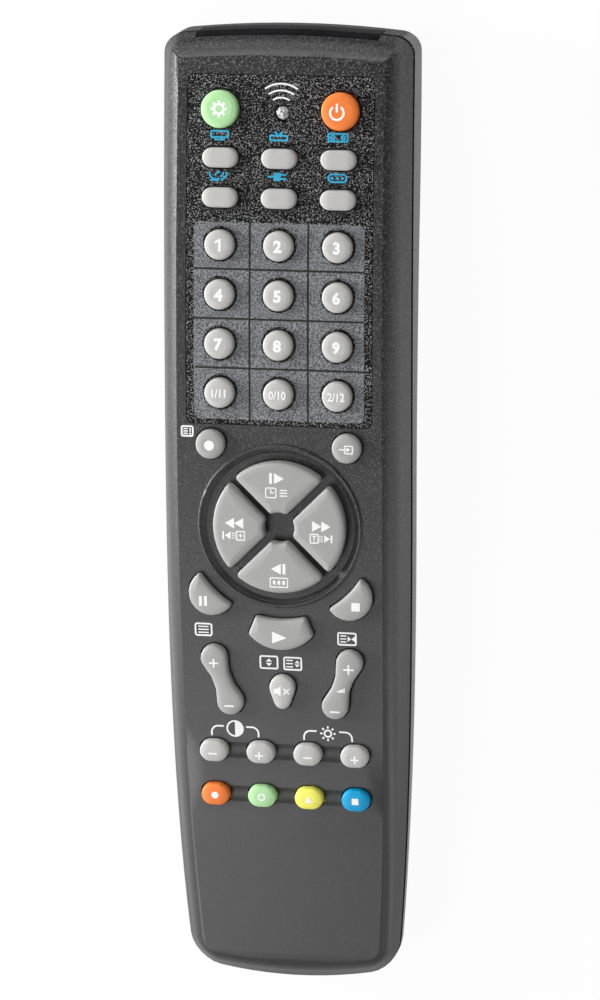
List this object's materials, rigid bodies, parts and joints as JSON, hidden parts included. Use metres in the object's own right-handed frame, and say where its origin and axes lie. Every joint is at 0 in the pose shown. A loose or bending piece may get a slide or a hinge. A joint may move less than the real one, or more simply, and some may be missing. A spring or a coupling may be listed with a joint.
{
  "type": "universal remote control",
  "caption": "Slim hand-held remote control with an arched face, rubber keys, a ring pad, rocker keys and a sliding battery cover in its back",
  "frame": {"origin": "on the flat back, under the middle of the case's length and width", "axes": "+Z out of the key face, +Y along the case towards the signal window, +X to the right of someone reading the keys"},
  "size_m": [0.052, 0.2028, 0.0263],
  "materials": {
    "case": "fine spark-eroded ABS",
    "window": "polished dark polycarbonate",
    "overlay": "coarse textured film",
    "lamp": "clear epoxy",
    "key_grey": "satin silicone rubber",
    "key_pale_green": "satin silicone rubber",
    "key_orange": "satin silicone rubber",
    "key_yellow": "satin silicone rubber",
    "key_blue": "satin silicone rubber",
    "mat": "satin silicone rubber",
    "board": "phenolic paper board",
    "black_resin": "moulded epoxy",
    "ceramic": "dipped ceramic",
    "capacitor_sleeve": "shrink sleeve",
    "cell_sleeve": "plain printed sleeve",
    "contact_steel": "nickel plate"
  },
  "bodies": {
    "case": {"top_case": "case", "bottom_case": "case", "ir_window": "window", "front_overlay": "overlay", "indicator_led": "lamp", "keypad_mat": "mat", "circuit_board": "board", "controller_chip": "black_resin", "resonator": "ceramic", "capacitor": "capacitor_sleeve", "driver_transistor": "black_resin", "resistors": "ceramic", "ir_led": "window", "aaa_cells": "cell_sleeve", "battery_springs": "contact_steel", "battery_plates": "contact_steel", "case_screw": "contact_steel"},
    "battery_cover": {"battery_cover": "case"},
    "set_key": {"set_key": "key_pale_green"},
    "power_key": {"power_key": "key_orange"},
    "device_key_1": {"device_key_1": "key_grey"},
    "device_key_2": {"device_key_2": "key_grey"},
    "device_key_3": {"device_key_3": "key_grey"},
    "device_key_4": {"device_key_4": "key_grey"},
    "device_key_5": {"device_key_5": "key_grey"},
    "device_key_6": {"device_key_6": "key_grey"},
    "digit_key_1": {"digit_key_1": "key_grey"},
    "digit_key_2": {"digit_key_2": "key_grey"},
    "digit_key_3": {"digit_key_3": "key_grey"},
    "digit_key_4": {"digit_key_4": "key_grey"},
    "digit_key_5": {"digit_key_5": "key_grey"},
    "digit_key_6": {"digit_key_6": "key_grey"},
    "digit_key_7": {"digit_key_7": "key_grey"},
    "digit_key_8": {"digit_key_8": "key_grey"},
    "digit_key_9": {"digit_key_9": "key_grey"},
    "digit_key_11": {"digit_key_11": "key_grey"},
    "digit_key_0": {"digit_key_0": "key_grey"},
    "digit_key_12": {"digit_key_12": "key_grey"},
    "record_key": {"record_key": "key_grey"},
    "source_key": {"source_key": "key_grey"},
    "nav_up_key": {"nav_up_key": "key_grey"},
    "nav_left_key": {"nav_left_key": "key_grey"},
    "nav_down_key": {"nav_down_key": "key_grey"},
    "nav_right_key": {"nav_right_key": "key_grey"},
    "pause_key": {"pause_key": "key_grey"},
    "stop_key": {"stop_key": "key_grey"},
    "play_key": {"play_key": "key_grey"},
    "mute_key": {"mute_key": "key_grey"},
    "contrast_down_key": {"contrast_down_key": "key_grey"},
    "contrast_up_key": {"contrast_up_key": "key_grey"},
    "bright_down_key": {"bright_down_key": "key_grey"},
    "bright_up_key": {"bright_up_key": "key_grey"},
    "red_key": {"red_key": "key_orange"},
    "green_key": {"green_key": "key_pale_green"},
    "yellow_key": {"yellow_key": "key_yellow"},
    "blue_key": {"blue_key": "key_blue"},
    "program_rocker": {"program_rocker": "key_grey"},
    "volume_rocker": {"volume_rocker": "key_grey"}
  },
  "joints": [
    {"name": "battery_cover_slide", "type": "slide", "parent": "case", "child": "battery_cover", "axis": [0, -1, 0], "range_m": [0, 0.083]},
    {"name": "set_press", "type": "slide", "parent": "case", "child": "set_key", "axis": [0, -0.124, -0.9923], "range_m": [0, 0.0008], "stiffness_N_per_m": 900},
    {"name": "power_press", "type": "slide", "parent": "case", "child": "power_key", "axis": [0, -0.124, -0.9923], "range_m": [0, 0.0008], "stiffness_N_per_m": 900},
    {"name": "device_1_press", "type": "slide", "parent": "case", "child": "device_key_1", "axis": [0, -0.1071, -0.9943], "range_m": [0, 0.0008], "stiffness_N_per_m": 900},
    {"name": "device_2_press", "type": "slide", "parent": "case", "child": "device_key_2", "axis": [0, -0.1071, -0.9943], "range_m": [0, 0.0008], "stiffness_N_per_m": 900},
    {"name": "device_3_press", "type": "slide", "parent": "case", "child": "device_key_3", "axis": [0, -0.1071, -0.9943], "range_m": [0, 0.0008], "stiffness_N_per_m": 900},
    {"name": "device_4_press", "type": "slide", "parent": "case", "child": "device_key_4", "axis": [0, -0.0931, -0.9957], "range_m": [0, 0.0008], "stiffness_N_per_m": 900},
    {"name": "device_5_press", "type": "slide", "parent": "case", "child": "device_key_5", "axis": [0, -0.0931, -0.9957], "range_m": [0, 0.0008], "stiffness_N_per_m": 900},
    {"name": "device_6_press", "type": "slide", "parent": "case", "child": "device_key_6", "axis": [0, -0.0931, -0.9957], "range_m": [0, 0.0008], "stiffness_N_per_m": 900},
    {"name": "digit_1_press", "type": "slide", "parent": "case", "child": "digit_key_1", "axis": [0, -0.0765, -0.9971], "range_m": [0, 0.0008], "stiffness_N_per_m": 900},
    {"name": "digit_2_press", "type": "slide", "parent": "case", "child": "digit_key_2", "axis": [0, -0.0765, -0.9971], "range_m": [0, 0.0008], "stiffness_N_per_m": 900},
    {"name": "digit_3_press", "type": "slide", "parent": "case", "child": "digit_key_3", "axis": [0, -0.0765, -0.9971], "range_m": [0, 0.0008], "stiffness_N_per_m": 900},
    {"name": "digit_4_press", "type": "slide", "parent": "case", "child": "digit_key_4", "axis": [0, -0.0589, -0.9983], "range_m": [0, 0.0008], "stiffness_N_per_m": 900},
    {"name": "digit_5_press", "type": "slide", "parent": "case", "child": "digit_key_5", "axis": [0, -0.0589, -0.9983], "range_m": [0, 0.0008], "stiffness_N_per_m": 900},
    {"name": "digit_6_press", "type": "slide", "parent": "case", "child": "digit_key_6", "axis": [0, -0.0589, -0.9983], "range_m": [0, 0.0008], "stiffness_N_per_m": 900},
    {"name": "digit_7_press", "type": "slide", "parent": "case", "child": "digit_key_7", "axis": [0, -0.0413, -0.9991], "range_m": [0, 0.0008], "stiffness_N_per_m": 900},
    {"name": "digit_8_press", "type": "slide", "parent": "case", "child": "digit_key_8", "axis": [0, -0.0413, -0.9991], "range_m": [0, 0.0008], "stiffness_N_per_m": 900},
    {"name": "digit_9_press", "type": "slide", "parent": "case", "child": "digit_key_9", "axis": [0, -0.0413, -0.9991], "range_m": [0, 0.0008], "stiffness_N_per_m": 900},
    {"name": "digit_11_press", "type": "slide", "parent": "case", "child": "digit_key_11", "axis": [0, -0.0237, -0.9997], "range_m": [0, 0.0008], "stiffness_N_per_m": 900},
    {"name": "digit_0_press", "type": "slide", "parent": "case", "child": "digit_key_0", "axis": [0, -0.0237, -0.9997], "range_m": [0, 0.0008], "stiffness_N_per_m": 900},
    {"name": "digit_12_press", "type": "slide", "parent": "case", "child": "digit_key_12", "axis": [0, -0.0237, -0.9997], "range_m": [0, 0.0008], "stiffness_N_per_m": 900},
    {"name": "record_press", "type": "slide", "parent": "case", "child": "record_key", "axis": [0, -0.0051, -1], "range_m": [0, 0.0008], "stiffness_N_per_m": 900},
    {"name": "source_press", "type": "slide", "parent": "case", "child": "source_key", "axis": [0, -0.0051, -1], "range_m": [0, 0.0008], "stiffness_N_per_m": 900},
    {"name": "nav_up_press", "type": "slide", "parent": "case", "child": "nav_up_key", "axis": [0, 0.0245, -0.9997], "range_m": [0, 0.0008], "stiffness_N_per_m": 900},
    {"name": "nav_left_press", "type": "slide", "parent": "case", "child": "nav_left_key", "axis": [0, 0.0245, -0.9997], "range_m": [0, 0.0008], "stiffness_N_per_m": 900},
    {"name": "nav_down_press", "type": "slide", "parent": "case", "child": "nav_down_key", "axis": [0, 0.0245, -0.9997], "range_m": [0, 0.0008], "stiffness_N_per_m": 900},
    {"name": "nav_right_press", "type": "slide", "parent": "case", "child": "nav_right_key", "axis": [0, 0.0245, -0.9997], "range_m": [0, 0.0008], "stiffness_N_per_m": 900},
    {"name": "pause_press", "type": "slide", "parent": "case", "child": "pause_key", "axis": [0, 0.0495, -0.9988], "range_m": [0, 0.0008], "stiffness_N_per_m": 900},
    {"name": "stop_press", "type": "slide", "parent": "case", "child": "stop_key", "axis": [0, 0.0495, -0.9988], "range_m": [0, 0.0008], "stiffness_N_per_m": 900},
    {"name": "play_press", "type": "slide", "parent": "case", "child": "play_key", "axis": [0, 0.0578, -0.9983], "range_m": [0, 0.0008], "stiffness_N_per_m": 900},
    {"name": "mute_press", "type": "slide", "parent": "case", "child": "mute_key", "axis": [0, 0.085, -0.9964], "range_m": [0, 0.0008], "stiffness_N_per_m": 900},
    {"name": "contrast_down_press", "type": "slide", "parent": "case", "child": "contrast_down_key", "axis": [0, 0.1093, -0.994], "range_m": [0, 0.0008], "stiffness_N_per_m": 900},
    {"name": "contrast_up_press", "type": "slide", "parent": "case", "child": "contrast_up_key", "axis": [0, 0.1093, -0.994], "range_m": [0, 0.0008], "stiffness_N_per_m": 900},
    {"name": "bright_down_press", "type": "slide", "parent": "case", "child": "bright_down_key", "axis": [0, 0.1093, -0.994], "range_m": [0, 0.0008], "stiffness_N_per_m": 900},
    {"name": "bright_up_press", "type": "slide", "parent": "case", "child": "bright_up_key", "axis": [0, 0.1093, -0.994], "range_m": [0, 0.0008], "stiffness_N_per_m": 900},
    {"name": "red_press", "type": "slide", "parent": "case", "child": "red_key", "axis": [0, 0.1262, -0.992], "range_m": [0, 0.0008], "stiffness_N_per_m": 900},
    {"name": "green_press", "type": "slide", "parent": "case", "child": "green_key", "axis": [0, 0.1262, -0.992], "range_m": [0, 0.0008], "stiffness_N_per_m": 900},
    {"name": "yellow_press", "type": "slide", "parent": "case", "child": "yellow_key", "axis": [0, 0.1262, -0.992], "range_m": [0, 0.0008], "stiffness_N_per_m": 900},
    {"name": "blue_press", "type": "slide", "parent": "case", "child": "blue_key", "axis": [0, 0.1262, -0.992], "range_m": [0, 0.0008], "stiffness_N_per_m": 900},
    {"name": "program_tip", "type": "hinge", "parent": "case", "child": "program_rocker", "pos_m": [-0.01275, -0.03344, 0.02055], "axis": [0.9472, 0.3195, 0.0263], "range_deg": [-4, 4], "stiffness_Nm_per_rad": 0.06},
    {"name": "volume_tip", "type": "hinge", "parent": "case", "child": "volume_rocker", "pos_m": [0.01275, -0.03344, 0.02055], "axis": [0.9472, -0.3195, -0.0263], "range_deg": [-4, 4], "stiffness_Nm_per_rad": 0.06}
  ]
}
